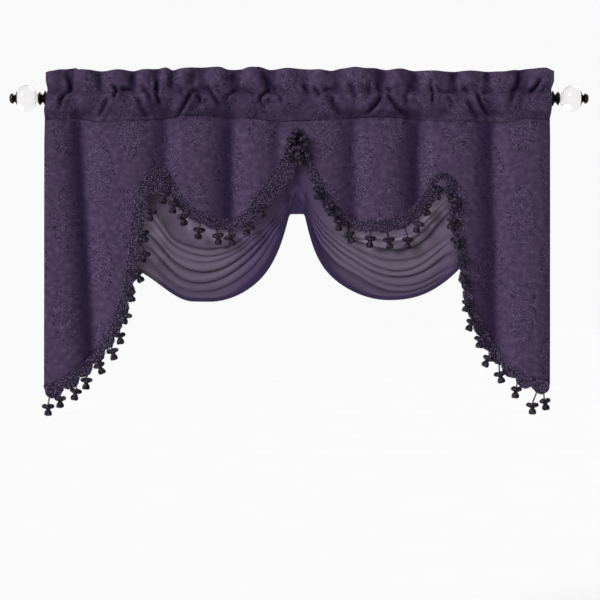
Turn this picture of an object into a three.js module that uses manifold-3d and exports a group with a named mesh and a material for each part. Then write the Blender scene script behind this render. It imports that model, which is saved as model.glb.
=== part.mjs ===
import * as THREE from "three";
import { mergeVertices } from "three/addons/utils/BufferGeometryUtils.js";
import Module from "manifold-3d";

const wasm = await Module();
wasm.setup();

// Millimetres, +X to the right, +Z up, front towards -Y. The origin is the middle of the rod's axis.
const rodRadius = 12.5;
const rodHalf = 607;
const clothThick = 2;
const voileThick = 1;
const braidThick = 2.4;
const braidWidth = 27;
const partGap = 0.65;
const headerTop = 71;
const upperStitch = 18;
const pocketRadius = 15.3;
const layerApart = 1.4;
const frillDepth = 11;
const pocketSwell = 4;
const ridgeFront = -12;
const braidSplit = 3;
const tasselDrop = 20;
const bunchLobes = 7;

// Side edges of the damask at each height.
const sides = [
  { z: 74, left: -607, right: 612 },
  { z: 44, left: -607, right: 612 },
  { z: 20, left: -603, right: 605 },
  { z: -6, left: -603, right: 604 },
  { z: -32, left: -609, right: 603 },
  { z: -60, left: -610, right: 602 },
  { z: -700, left: -610, right: 602 },
];

// Stitch line under the rod pocket, dipping and rising across the heading.
const seam = [
  { x: -611, z: -49 },
  { x: -535, z: -47 },
  { x: -480, z: -56 },
  { x: -350, z: -51 },
  { x: -259, z: -39 },
  { x: -120, z: -48 },
  { x: -38, z: -55 },
  { x: 204, z: -44 },
  { x: 345, z: -54 },
  { x: 506, z: -58 },
  { x: 545, z: -47 },
  { x: 613, z: -49 },
];

// Hollows of the header frill and how deep each falls back.
const frill = [
  { x: -640, deep: 0.5 },
  { x: -548, deep: 1 },
  { x: -477, deep: 0.7 },
  { x: -398, deep: 0.9 },
  { x: -338, deep: 0.8 },
  { x: -300, deep: 0.6 },
  { x: -237, deep: 1 },
  { x: -151, deep: 0.9 },
  { x: -67, deep: 1 },
  { x: 16, deep: 0.7 },
  { x: 88, deep: 0.8 },
  { x: 194, deep: 1 },
  { x: 271, deep: 0.8 },
  { x: 370, deep: 0.9 },
  { x: 449, deep: 0.8 },
  { x: 533, deep: 1 },
  { x: 640, deep: 0.5 },
];

// Soft hanging folds: each hollow's place, depth, half width and its drift at the tail's foot.
const folds = [
  { x: -546, depth: 20, half: 42, drift: 28 },
  { x: -341, depth: 15, half: 38, drift: -10 },
  { x: -188, depth: 20, half: 40, drift: 0 },
  { x: -64, depth: 9, half: 26, drift: -6 },
  { x: 108, depth: 13, half: 36, drift: 20 },
  { x: 274, depth: 20, half: 38, drift: -6 },
  { x: 446, depth: 18, half: 36, drift: 30 },
  { x: 574, depth: 8, half: 24, drift: 0 },
];

// Lower edge in four stretches from left to right, the cloth above it.
const stretches = [
  {
    name: "tail_left",
    arch: "end",
    columns: 20,
    lobes: 15,
    tassels: [0.25, 1, 2, 3, 4, 5, 6, 7, 8, 9, 10, 11, 12],
    edge: [
      { x: -610, z: -690 },
      { x: -533, z: -647 },
      { x: -461, z: -577 },
      { x: -418, z: -469 },
      { x: -402, z: -352 },
      { x: -389, z: -246 },
      { x: -362, z: -181 },
      { x: -338, z: -167 },
    ],
  },
  {
    name: "scallop_left",
    arch: "start",
    columns: 16,
    lobes: 12,
    tassels: [2, 3, 4, 5, 6, 7, 8, 9],
    edge: [
      { x: -338, z: -167 },
      { x: -314, z: -177 },
      { x: -265, z: -258 },
      { x: -194, z: -292 },
      { x: -142, z: -287 },
      { x: -86, z: -220 },
      { x: -29, z: -128 },
      { x: -4, z: -76 },
    ],
  },
  {
    name: "scallop_right",
    arch: "end",
    columns: 16,
    lobes: 12,
    tassels: [3, 4, 5, 6, 7, 8, 9, 10],
    edge: [
      { x: -4, z: -76 },
      { x: 22, z: -138 },
      { x: 82, z: -256 },
      { x: 139, z: -292 },
      { x: 235, z: -292 },
      { x: 288, z: -249 },
      { x: 331, z: -191 },
      { x: 350, z: -182 },
    ],
  },
  {
    name: "tail_right",
    arch: "start",
    columns: 20,
    lobes: 15,
    tassels: [2, 3, 4, 5, 6, 7, 8, 9, 10, 11, 12, 13, 14, 14.75],
    edge: [
      { x: 350, z: -182 },
      { x: 374, z: -205 },
      { x: 392, z: -328 },
      { x: 410, z: -448 },
      { x: 449, z: -541 },
      { x: 526, z: -646 },
      { x: 602, z: -684 },
    ],
  },
];

// Voile swags: end, centre and lowest heights from the hidden top row down to the hem.
const swags = {
  left: {
    end: -397,
    centre: -4.9,
    endPower: 2.1,
    centrePower: 2.8,
    rows: [
      { b: 0, end: -62, centre: -66, low: -70, at: -205 },
      { b: 0.3, end: -214, centre: -160, low: -330, at: -188 },
      { b: 1, end: -404, centre: -277, low: -488, at: -216 },
    ],
  },
  right: {
    end: 391,
    centre: -4.5,
    endPower: 2.1,
    centrePower: 3,
    rows: [
      { b: 0, end: -66, centre: -66, low: -68, at: 200 },
      { b: 0.3, end: -220, centre: -160, low: -332, at: 190 },
      { b: 1, end: -402, centre: -277, low: -484, at: 216 },
    ],
  },
};
const swagFolds = 7;
const swagColumns = 12;
const swagFoldRows = 4;
const swagTopRows = 3;
const swagFront = 14;
const swagGather = 20;
const swagDepth = 12;

// Mushroom tassel profile: radius and drop below its thread.
const tasselProfile = [
  { r: 0, drop: 0 },
  { r: 14.5, drop: 7 },
  { r: 4.5, drop: 14 },
  { r: 8.5, drop: 27 },
  { r: 0, drop: 28.5 },
];

// Braid bunches: place, half sizes of the bunched lace, and the tassels that hang from it.
const bunches = [
  {
    name: "bunch_left",
    at: [-336, -14.5, -208],
    half: [27, 6, 32],
    tassels: [
      { x: 14, y: -8, z: -16 },
      { x: -22, y: -6, z: -22 },
    ],
  },
  {
    name: "bunch_centre",
    at: [-4, -19.8, -112],
    half: [15, 7, 40],
    tassels: [
      { x: -9, y: -16, z: 26 },
      { x: 10, y: -17, z: 12 },
      { x: -10, y: -18, z: -2 },
      { x: 9, y: -17, z: -16 },
      { x: -5, y: -13, z: -28 },
    ],
  },
  {
    name: "bunch_right",
    at: [343, -18.5, -212],
    half: [26, 6, 27],
    tassels: [{ x: -14, y: -8, z: -14 }],
  },
];

// Finial profiles: radius and distance out from the rod's end.
const collarProfile = [
  { r: 0, out: 0.3 },
  { r: 18.5, out: 0.3 },
  { r: 18.5, out: 2 },
  { r: 9.2, out: 7.4 },
  { r: 16.8, out: 14.4 },
  { r: 12, out: 18.4 },
  { r: 0, out: 18.4 },
];
const ballProfile = [
  { r: 0, out: 18.7 },
  { r: 15, out: 18.7 },
  { r: 20, out: 25.6 },
  { r: 26, out: 26.8 },
  { r: 30.6, out: 35 },
  { r: 32.9, out: 46.6 },
  { r: 30.6, out: 58 },
  { r: 26, out: 66.4 },
  { r: 0, out: 66.4 },
];
const capProfile = [
  { r: 0, out: 66.7 },
  { r: 18.7, out: 66.7 },
  { r: 11, out: 71.5 },
  { r: 8.4, out: 75.4 },
  { r: 12.6, out: 80 },
  { r: 9.5, out: 85.5 },
  { r: 0, out: 87.8 },
];

const { lerp, smoothstep, clamp } = THREE.MathUtils;

// Value of a table's column between its rows, eased so that it has no corners, or straight.
function tabled(rows, key, value, at, eased = true) {
  const last = rows.length - 1;
  const down = rows[0][key] > rows[last][key];
  const found = rows.findIndex((row) => (down ? at >= row[key] : at <= row[key]));
  if (found === 0) return rows[0][value];
  if (found < 0) return rows[last][value];
  const a = rows[found - 1];
  const b = rows[found];
  const share = (at - a[key]) / (b[key] - a[key]);
  return lerp(a[value], b[value], eased ? smoothstep(share, 0, 1) : share);
}

// Header ripple: 1 on a crest between two hollows, falling to minus the hollow's depth.
function frillAt(x) {
  const next = frill.findIndex((row) => row.x > x);
  const a = frill[next - 1];
  const b = frill[next];
  const share = (x - a.x) / (b.x - a.x);
  return -Math.cos(2 * Math.PI * share) * lerp(a.deep, b.deep, share);
}

// Depth of the hanging damask at a point of its front view.
function foldAt(x, z) {
  const fall = clamp((-50 - z) / 640, 0, 1);
  const open = lerp(0.45, 1, smoothstep(-z, 50, 130));
  let y = ridgeFront * lerp(0.35, 1, smoothstep(-z, 45, 120));
  for (const fold of folds) {
    const off = (x - fold.x - fold.drift * fall) / fold.half;
    y += fold.depth * open * Math.exp(-off * off);
  }
  return y;
}

// Closed sheet: two grids of cells split along the same diagonals, joined by a rim. Rows before the fold
// take the other diagonal, so that the layer behind a folded top keeps parallel to the one in front.
function sheet(columns, rows, place, foldRow = 0) {
  const grid = [];
  const across = columns + 1;
  for (let row = 0; row < rows; row += 1) {
    for (let column = 0; column < columns; column += 1) {
      const a = row * across + column;
      const b = a + across;
      if (row < foldRow) grid.push(a, b, b + 1, a, b + 1, a + 1);
      else grid.push(a, b, a + 1, b, b + 1, a + 1);
    }
  }
  const count = across * (rows + 1);
  const points = [];
  for (const side of [1, -1]) {
    for (let i = 0; i < count; i += 1) {
      points.push(place(i % across, Math.floor(i / across), side));
    }
  }
  const faces = [...grid];
  for (let i = 0; i < grid.length; i += 3) {
    faces.push(grid[i] + count, grid[i + 2] + count, grid[i + 1] + count);
  }
  const rim = [];
  for (let row = 0; row < rows; row += 1) rim.push(row * across);
  for (let column = 0; column < columns; column += 1) rim.push(rows * across + column);
  for (let row = rows; row > 0; row -= 1) rim.push(row * across + columns);
  for (let column = columns; column > 0; column -= 1) rim.push(column);
  rim.forEach((a, i) => {
    const b = rim[(i + 1) % rim.length];
    faces.push(b, a, a + count, b, a + count, b + count);
  });
  return new THREE.BufferGeometry().setFromPoints(points).setIndex(faces);
}

// Points of a path in one column, pushed out by half the thickness on the given side.
function pushed(path, row, reach) {
  const here = path[row];
  const before = path[Math.max(row - 1, 0)];
  const after = path[Math.min(row + 1, path.length - 1)];
  const into = new THREE.Vector2(here.y - before.y, here.z - before.z).normalize();
  const out = new THREE.Vector2(after.y - here.y, after.z - here.z).normalize();
  const along = into.add(out).normalize();
  return new THREE.Vector3(here.x, here.y + along.y * reach, here.z - along.x * reach);
}

// Lower edge of a stretch as even points in the front view.
function edgePoints(stretch) {
  const curve = new THREE.CatmullRomCurve3(
    stretch.edge.map((p) => new THREE.Vector3(p.x, 0, p.z)),
    false,
    "centripetal",
  );
  const points = curve.getSpacedPoints(stretch.columns);
  points.forEach((p) => {
    p.y = foldAt(p.x, p.z);
  });
  return points;
}
const edges = stretches.map(edgePoints);

// One column of the damask: back of the pocket, header, front of the pocket, then down to the edge.
function damaskPath(foot, share, rows) {
  const across = (z) => lerp(tabled(sides, "z", "left", z), tabled(sides, "z", "right", z), share);
  const seamZ = tabled(seam, "x", "z", across(-50));
  const ruffle = (z) => -frillDepth * frillAt(across(z));
  const path = [];
  const add = (y, z) => path.push(new THREE.Vector3(across(z), y, z));
  const seamY = foldAt(across(seamZ), seamZ);
  const slope = pocketRadius * Math.SQRT1_2;
  const swell = pocketSwell * (1 + frillAt(across(0)));
  const top = headerTop + 2.4 * frillAt(across(headerTop));
  const lean = ruffle(top);
  add(seamY + clothThick + partGap, seamZ + 1);
  add(pocketRadius * 0.75, -27);
  add(pocketRadius, 0);
  add(slope, slope);
  add(layerApart, upperStitch);
  add(layerApart + lean * 0.7, 44);
  add(lean, top);
  add(-layerApart + lean * 0.7, 44);
  add(-layerApart, upperStitch);
  add(-slope, slope);
  add(-pocketRadius - swell, 0);
  add(-pocketRadius * 0.75 - swell, -27);
  const head = new THREE.Vector3(across(seamZ), seamY, seamZ);
  for (let row = 0; row <= rows; row += 1) {
    const spot = head.clone().lerp(foot, (row / rows) ** 1.3);
    spot.y = foldAt(spot.x, spot.z);
    path.push(spot);
  }
  return path;
}

function damaskPanel() {
  const hangRows = 8;
  const headerRow = 6;
  const paths = [];
  const left = tabled(sides, "z", "left", -60);
  const right = tabled(sides, "z", "right", -60);
  stretches.forEach((stretch, n) => {
    const start = (edges[n][0].x - left) / (right - left);
    const end = (edges[n].at(-1).x - left) / (right - left);
    edges[n].forEach((foot, i) => {
      if (n > 0 && i === 0) return;
      paths.push(damaskPath(foot, lerp(start, end, i / stretch.columns), hangRows));
    });
  });
  const place = (column, row, side) => pushed(paths[column], row, (side * clothThick) / 2);
  return sheet(paths.length - 1, paths[0].length - 1, place, headerRow);
}

// Height of a swag row at x, sagging from its end and from the centre seam.
function swagZ(swag, b, x) {
  const end = tabled(swag.rows, "b", "end", b, false);
  const centre = tabled(swag.rows, "b", "centre", b, false);
  const low = tabled(swag.rows, "b", "low", b, false);
  const at = tabled(swag.rows, "b", "at", b, false);
  const outer = (x - at) * (swag.end - at) > 0;
  const drawn = swagGather * smoothstep(b, 0.5, 1) * Math.sign(swag.end);
  const reach = outer ? (x - at) / (swag.end - at) : (x - at) / (swag.centre + drawn - at);
  const rise = Math.min(reach, 1) ** (outer ? swag.endPower : swag.centrePower);
  return lerp(low, outer ? end : centre, rise);
}

function voile(swag) {
  const rows = swagTopRows + swagFolds * swagFoldRows;
  const shown = swag.rows[1].b;
  const rightward = swag.centre > swag.end;
  const middle = (column, row) => {
    const step = rightward ? column / swagColumns : 1 - column / swagColumns;
    const share = 1 - (1 - step) ** 1.5;
    const x = lerp(swag.end, swag.centre, share);
    const below = row - swagTopRows;
    const b = below < 0 ? (shown * row) / swagTopRows : lerp(shown, 1, below / (rows - swagTopRows));
    const z = swagZ(swag, b, x);
    const ripple = below < 0 ? 0 : Math.abs(Math.cos((Math.PI * below) / swagFoldRows));
    const spread = Math.sin(Math.PI * clamp(0.08 + 0.84 * share, 0, 1)) ** 0.95;
    const loose = smoothstep(Math.abs(x - swag.centre), 14, 105);
    const hung = swagFront + swagDepth * (1 - ripple) * spread * loose;
    const tucked = Math.max(foldAt(x - 20, z), foldAt(x, z), foldAt(x + 20, z)) + 2.6;
    const away = smoothstep(share, 0, 0.16) * smoothstep(b, 0, shown);
    const y = lerp(tucked, hung, away);
    return new THREE.Vector3(x, y, z);
  };
  const place = (column, row, side) => {
    const across = middle(Math.min(column + 1, swagColumns), row);
    across.sub(middle(Math.max(column - 1, 0), row));
    const spot = middle(column, row);
    const into = spot.clone().sub(middle(column, Math.max(row - 1, 0))).normalize();
    const out = middle(column, Math.min(row + 1, rows)).sub(spot).normalize();
    const front = into.add(out).cross(across).normalize();
    spot.addScaledVector(front, (side * voileThick) / 2);
    spot.x = clamp(spot.x, Math.min(swag.end, swag.centre), Math.max(swag.end, swag.centre));
    return spot;
  };
  return sheet(swagColumns, rows, place);
}

function solid(geometry) {
  const bare = geometry.clone();
  bare.deleteAttribute("normal");
  bare.deleteAttribute("uv");
  const merged = mergeVertices(bare, 1e-4);
  return new wasm.Manifold(
    new wasm.Mesh({
      numProp: 3,
      vertProperties: merged.attributes.position.array,
      triVerts: new Uint32Array(merged.index.array),
    }),
  );
}

function geometryOf(body) {
  const mesh = body.getMesh();
  const geometry = new THREE.BufferGeometry();
  geometry.setAttribute("position", new THREE.BufferAttribute(mesh.vertProperties, 3));
  geometry.setIndex(new THREE.BufferAttribute(mesh.triVerts, 1));
  return geometry;
}

// Round piece about its own axis, turned from a table of radii.
function turned(profile, key, segments) {
  return new THREE.LatheGeometry(
    profile.map((row) => new THREE.Vector2(row.r, row[key])),
    segments,
  );
}

// Mushroom tassel and its thread in one turned body, the thread's top ring moved to its root.
function tassel(root, top) {
  const upward = tasselProfile.map((row) => ({ r: row.r, up: -row.drop })).reverse();
  upward.pop();
  upward.push({ r: 1.4, up: -1 }, { r: 1.2, up: 100 }, { r: 0, up: 100 });
  const body = turned(upward, "up", 5);
  body.rotateX(Math.PI / 2);
  const points = body.attributes.position;
  for (let i = 0; i < points.count; i += 1) {
    const atRoot = points.getZ(i) > 50;
    const base = atRoot ? root : top;
    const up = atRoot ? 0 : points.getZ(i);
    points.setXYZ(i, base.x + points.getX(i), base.y + points.getY(i), base.z + up);
  }
  return solid(body);
}

// Points along a stretch's edge, each cell split, with the way out from the cloth.
function braidStations(stretch, points) {
  const stations = [];
  const last = points.length - 1;
  const outOf = (cell) => {
    const a = points[clamp(cell, 0, last - 1)];
    const b = points[clamp(cell, 0, last - 1) + 1];
    return new THREE.Vector3(b.z - a.z, 0, a.x - b.x).normalize();
  };
  const arch = stretch.arch === "start" ? points[0] : points[last];
  for (let i = 0; i <= last * braidSplit; i += 1) {
    const cell = Math.min(Math.floor(i / braidSplit), last - 1);
    const share = i / braidSplit - cell;
    const spot = points[cell].clone().lerp(points[cell + 1], share);
    const own = outOf(cell);
    const before = outOf(share === 0 ? cell - 1 : cell);
    const out = own.clone().add(before).normalize();
    const near = Math.exp(-((spot.distanceTo(arch) / 26) ** 2));
    out.lerp(new THREE.Vector3(0, 0, -1), near).normalize();
    const miter = 1 / Math.max(Math.min(out.dot(own), out.dot(before)), 0.4);
    stations.push({ spot, out, miter, lobe: (i / (last * braidSplit)) * stretch.lobes });
  }
  return stations;
}

// Lace strip past the cloth's edge, scalloped between tassels, with its tassels fused on.
function braid(stretch, points) {
  const least = points[0].x + partGap;
  const most = points.at(-1).x - partGap;
  const room = (station) => {
    const { spot, out } = station;
    if (Math.abs(out.x) < 0.02) return braidWidth;
    return out.x > 0 ? (most - spot.x) / out.x : (least - spot.x) / out.x;
  };
  const laid = (station, reach) => {
    const spot = station.spot.clone().addScaledVector(station.out, reach);
    spot.x = clamp(spot.x, least, most);
    return spot;
  };
  const stations = [];
  for (const station of braidStations(stretch, points)) {
    const wave = Math.abs(Math.sin(Math.PI * station.lobe));
    station.reach = Math.min(braidWidth * (0.76 + 0.24 * wave), room(station));
    const before = stations.at(-1);
    const along = before && station.spot.clone().sub(before.spot);
    const advance = before && laid(station, station.reach).sub(laid(before, before.reach)).dot(along);
    if (room(station) > 7 && (!before || advance > 1)) stations.push(station);
  }
  const place = (column, row, side) => {
    const station = stations[column];
    const spot = laid(station, row === 0 ? partGap * station.miter : station.reach);
    spot.y -= (side * braidThick) / 2;
    return spot;
  };
  let body = solid(sheet(stations.length - 1, 1, place));
  for (const lobe of stretch.tassels) {
    const station = stations.find((row) => row.lobe >= lobe - 0.01);
    const root = station.spot.clone().addScaledVector(station.out, station.reach - 3);
    const top = station.spot.clone().addScaledVector(station.out, station.reach);
    top.y = Math.min(root.y, -6) - 12 * Math.abs(station.out.x);
    top.z -= tasselDrop;
    body = body.add(tassel(root, top));
  }
  return geometryOf(body);
}

// Bunched braid: a flat round with its rim drawn into lobes, and its own tassels.
function bunch(row) {
  const lace = new THREE.SphereGeometry(1, 2 * bunchLobes, 6);
  lace.rotateX(Math.PI / 2);
  const points = lace.attributes.position;
  for (let i = 0; i < points.count; i += 1) {
    const turn = Math.atan2(points.getZ(i), points.getX(i));
    const rim = 0.9 + 0.12 * Math.cos(bunchLobes * turn);
    points.setXYZ(i, points.getX(i) * rim, points.getY(i), points.getZ(i) * rim);
  }
  lace.scale(...row.half);
  lace.translate(...row.at);
  let body = solid(lace);
  const middle = new THREE.Vector3(...row.at);
  for (const hung of row.tassels) {
    const top = middle.clone().add(new THREE.Vector3(hung.x, hung.y, hung.z));
    const root = middle.clone().add(new THREE.Vector3(hung.x * 0.5, 0, hung.z + 8));
    body = body.add(tassel(root, top));
  }
  return geometryOf(body);
}

// Turned finial piece set outward along X from one end of the rod.
function finialPiece(profile, side) {
  const piece = turned(profile, "out", 16);
  piece.rotateZ(-side * (Math.PI / 2));
  return piece.translate(side * rodHalf, 0, 0);
}

const part = new THREE.Group();

function piece(name, geometry, colour, roughness, metalness) {
  const material = new THREE.MeshStandardMaterial({ color: colour, roughness, metalness });
  const mesh = new THREE.Mesh(geometry, material);
  mesh.name = name;
  part.add(mesh);
}

const rod = new THREE.CylinderGeometry(rodRadius, rodRadius, 2 * rodHalf, 20);
rod.rotateZ(Math.PI / 2);
piece("rod", rod, 0x26221f, 0.45, 0.8);
piece("damask_panel", damaskPanel(), 0x4b3f55, 0.75, 0);
piece("voile_left", voile(swags.left), 0x6b6173, 0.8, 0);
piece("voile_right", voile(swags.right), 0x6b6173, 0.8, 0);
stretches.forEach((stretch, n) => {
  piece("braid_" + stretch.name, braid(stretch, edges[n]), 0x2b2433, 0.85, 0);
});
bunches.forEach((row) => {
  piece(row.name, bunch(row), 0x221d29, 0.85, 0);
});
for (const [name, side] of [["left", -1], ["right", 1]]) {
  piece("collar_" + name, finialPiece(collarProfile, side), 0x1b1a18, 0.4, 0.8);
  piece("ball_" + name, finialPiece(ballProfile, side), 0xe9e6e6, 0.05, 0);
  piece("cap_" + name, finialPiece(capProfile, side), 0x1b1a18, 0.4, 0.8);
}

export default part;
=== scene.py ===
from functools import partial
import math

import bmesh
import bpy
import numpy as np
from mathutils import Matrix


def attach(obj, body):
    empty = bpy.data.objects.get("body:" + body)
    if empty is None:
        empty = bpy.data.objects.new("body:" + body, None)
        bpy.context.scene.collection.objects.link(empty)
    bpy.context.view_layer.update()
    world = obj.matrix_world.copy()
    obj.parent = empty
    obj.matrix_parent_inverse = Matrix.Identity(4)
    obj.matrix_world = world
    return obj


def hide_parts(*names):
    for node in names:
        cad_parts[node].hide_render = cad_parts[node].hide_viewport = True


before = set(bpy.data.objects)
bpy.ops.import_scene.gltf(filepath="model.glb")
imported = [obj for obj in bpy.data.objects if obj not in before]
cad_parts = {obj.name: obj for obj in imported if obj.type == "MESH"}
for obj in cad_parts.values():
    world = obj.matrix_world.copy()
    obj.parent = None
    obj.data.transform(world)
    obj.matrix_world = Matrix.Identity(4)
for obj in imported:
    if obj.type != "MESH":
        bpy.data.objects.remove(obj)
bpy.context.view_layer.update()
scene = bpy.context.scene
mm = 0.001
print("frame loaded:", len(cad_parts), "nodes")

# camera square on to the cloth, 2.4 mm of it to a pixel of the 600 x 600 picture
cameraSettings = {"place": (0.0024, -4.0, -0.4836), "lens": 100.0, "sensor": 36.0}
cameraData = bpy.data.cameras.new("camera")
cameraData.lens = cameraSettings["lens"]
cameraData.sensor_width = cameraSettings["sensor"]
camera = bpy.data.objects.new("camera", cameraData)
camera.location = cameraSettings["place"]
camera.rotation_euler = (math.radians(90), 0, 0)
scene.collection.objects.link(camera)
scene.camera = camera


# small helpers

def colour(code):  # sRGB hex to linear
    parts = [int(code[i:i + 2], 16) / 255 for i in (1, 3, 5)]
    return [p / 12.92 if p <= 0.04045 else ((p + 0.055) / 1.055) ** 2.4 for p in parts] + [1.0]


# inputs are values, sockets or nodes, a node standing for its first output, and stops are a ramp's
def addNode(tree, kind, inputs=None, operation=None, stops=(), **settings):
    made = tree.nodes.new("ShaderNode" + kind)
    if operation:
        made.operation = operation
    for name, value in settings.items():
        setattr(made, name, value)
    for socket, value in (inputs or {}).items():
        value = value.outputs[0] if isinstance(value, bpy.types.Node) else value
        if isinstance(value, bpy.types.NodeSocket):
            tree.links.new(value, made.inputs[socket])
        else:
            made.inputs[socket].default_value = value
    for number, (place, value) in enumerate(stops):
        elements = made.color_ramp.elements
        if number == 0:
            elements.remove(elements[1])
        stop = elements.new(place) if number else elements[0]
        stop.position = place
        stop.color = value if isinstance(value, list) else (value, value, value, 1.0)
    return made


def newMaterial(name):
    material = bpy.data.materials.new(name)
    material.use_nodes = True
    material.node_tree.nodes.clear()
    return material, partial(addNode, material.node_tree)


def ease(value, low, high):
    t = np.clip((value - low) / (high - low), 0.0, 1.0)
    return t * t * (3 - 2 * t)


def mix(a, b, t):
    return a + (b - a) * t


def bell(value, width):  # 1 at 0, and almost nothing at twice the width
    return np.exp(-(value / width) ** 2)


def tabled(rows, column, at, eased=True):  # rows are sorted by their first column
    keys = np.array([row[0] for row in rows], float)
    values = np.array([row[column] for row in rows], float)
    at = np.clip(at, keys[0], keys[-1])
    step = np.clip(np.searchsorted(keys, at, side="right") - 1, 0, len(keys) - 2)
    t = (at - keys[step]) / (keys[step + 1] - keys[step])
    if eased:
        t = t * t * (3 - 2 * t)
    return mix(values[step], values[step + 1], t)


def smoothed(values, count):  # each value is the mean of the count values round it
    return np.convolve(np.pad(values, count // 2, mode="edge"), np.ones(count) / count, "valid")


def runAlong(points):  # length along a line, or down each column of a grid
    steps = np.linalg.norm(np.diff(points, axis=0), axis=-1)
    return np.concatenate([np.zeros_like(steps[:1]), np.cumsum(steps, axis=0)])


def sampled(at, far, line):  # points of a line at lengths along it
    return np.column_stack([np.interp(at, far, column) for column in line.T])


def addPiece(name, mesh, materials, nodes):
    piece = bpy.data.objects.new(name, mesh)
    for material in materials:
        mesh.materials.append(material)
    scene.collection.objects.link(piece)
    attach(piece, "root")
    if nodes:
        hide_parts(*nodes)
    return piece


def thicken(piece, thick, backMaterial=0):
    cloth = piece.modifiers.new("cloth", "SOLIDIFY")
    cloth.thickness = thick * mm
    cloth.offset = 0.0
    cloth.material_offset = backMaterial


def finishMesh(bm, name, sharp=None):
    mesh = bpy.data.meshes.new(name)
    bm.to_mesh(mesh)
    bm.free()
    mesh.shade_smooth()
    if sharp:
        mesh.set_sharp_from_angle(angle=math.radians(sharp))
    return mesh


# a grid of rows and columns on points in millimetres, with the flat cloth's measure as a UV map in metres
def clothGrid(name, points, flat, tones):
    rows, columns = points.shape[0] - 1, points.shape[1] - 1
    bm = bmesh.new()
    bmesh.ops.create_grid(bm, x_segments=columns, y_segments=rows, size=0.5)
    laid = bm.loops.layers.uv.new("flat")
    marks = [(bm.verts.layers.float.new(tone), values) for tone, values in tones.items()]
    for vert in bm.verts:
        column, row = round((vert.co.x + 0.5) * columns), round((0.5 - vert.co.y) * rows)
        vert.co = points[row, column] * mm
        for layer, values in marks:
            vert[layer] = values[row, column]
        for loop in vert.link_loops:
            loop[laid].uv = flat[row, column] * mm
    return finishMesh(bm, name)


def cordMesh(lines, radius, kind=0):  # joined cords through lists of points, kind is their material
    curve = bpy.data.curves.new("cords", "CURVE")
    curve.dimensions = "3D"
    curve.bevel_depth = radius * mm
    curve.bevel_resolution = 0
    curve.use_fill_caps = True
    for line in lines:
        line = np.asarray(line, float)
        spline = curve.splines.new("POLY")
        spline.points.add(len(line) - 1)
        spline.points.foreach_set("co", np.column_stack([line * mm, np.ones(len(line))]).ravel())
    holder = bpy.data.objects.new("cords", curve)
    mesh = bpy.data.meshes.new_from_object(holder)
    bpy.data.objects.remove(holder)
    bpy.data.curves.remove(curve)
    mesh.polygons.foreach_set("material_index", [kind] * len(mesh.polygons))
    return mesh


def addMesh(bm, mesh):  # joins a mesh into bm and lets it go
    bm.from_mesh(mesh)
    bpy.data.meshes.remove(mesh)


def turned(profile, steps, axis="X", side=1, start=0.0):  # profile of (radius, along), spun round the axis
    bm = bmesh.new()
    points = []
    for radius, along in profile:
        place = side * (start + along)
        spot = (place, 0, radius) if axis == "X" else (radius, 0, place)
        points.append(bm.verts.new([value * mm for value in spot]))
    edges = [bm.edges.new(pair) for pair in zip(points, points[1:])]
    spindle = (1, 0, 0) if axis == "X" else (0, 0, 1)
    bmesh.ops.spin(bm, geom=points + edges, cent=(0, 0, 0), axis=spindle,
                   angle=math.tau, steps=steps, use_merge=True)
    bmesh.ops.remove_doubles(bm, verts=bm.verts[:], dist=1e-6)
    bmesh.ops.recalc_face_normals(bm, faces=bm.faces[:])
    return bm


# materials

# Jacquard damask in aubergine viscose: a soft mottled ground, with pointed medallions in dark flecks and
# paler satin specks that hardly stand out from it. Painted shade darkens it in its folds, creases, frill
# hollows and by the pocket. Sizes in mm.
damaskWeave = {
    # fold is the colour of the painted shade, and hollow its strength
    "ground": "#44364f", "figure": "#6b5f76", "deep": "#20162b", "fold": "#160926", "sheen": "#8f7aa4",
    "hollow": 0.78, "repeat": (156.0, 228.0), "medallion": (70.0, 168.0),
    "yarn": 4.0,  # heavy yarns of about 0.6 mm, drawn at 4 mm so that they show
    "blotch": 14.0, "wander": 22.0, "stray": (34.0, 40.0, 0.0), "flecks": 24.0, "fleckLean": 9.0,
    # half-drop: every other column of medallions lies half a repeat lower
    "shifts": ((0.071, 0.175, 0.0), (0.571, 0.675, 0.0)),
    # strength of the dark flecks and of the pale specks, from a medallion's middle to its pointed border
    "dark": ((0.0, 0.25), (0.10, 0.0), (0.34, 0.0), (0.42, 0.5), (0.50, 0.0), (0.76, 0.0), (0.84, 1.0),
             (0.92, 1.0), (1.0, 0.0)),
    "pale": ((0.0, 0.9), (0.14, 0.4), (0.30, 0.65), (0.44, 0.35), (0.70, 0.45), (0.80, 0.75), (0.90, 0.5),
             (1.0, 0.05)),
}


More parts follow.
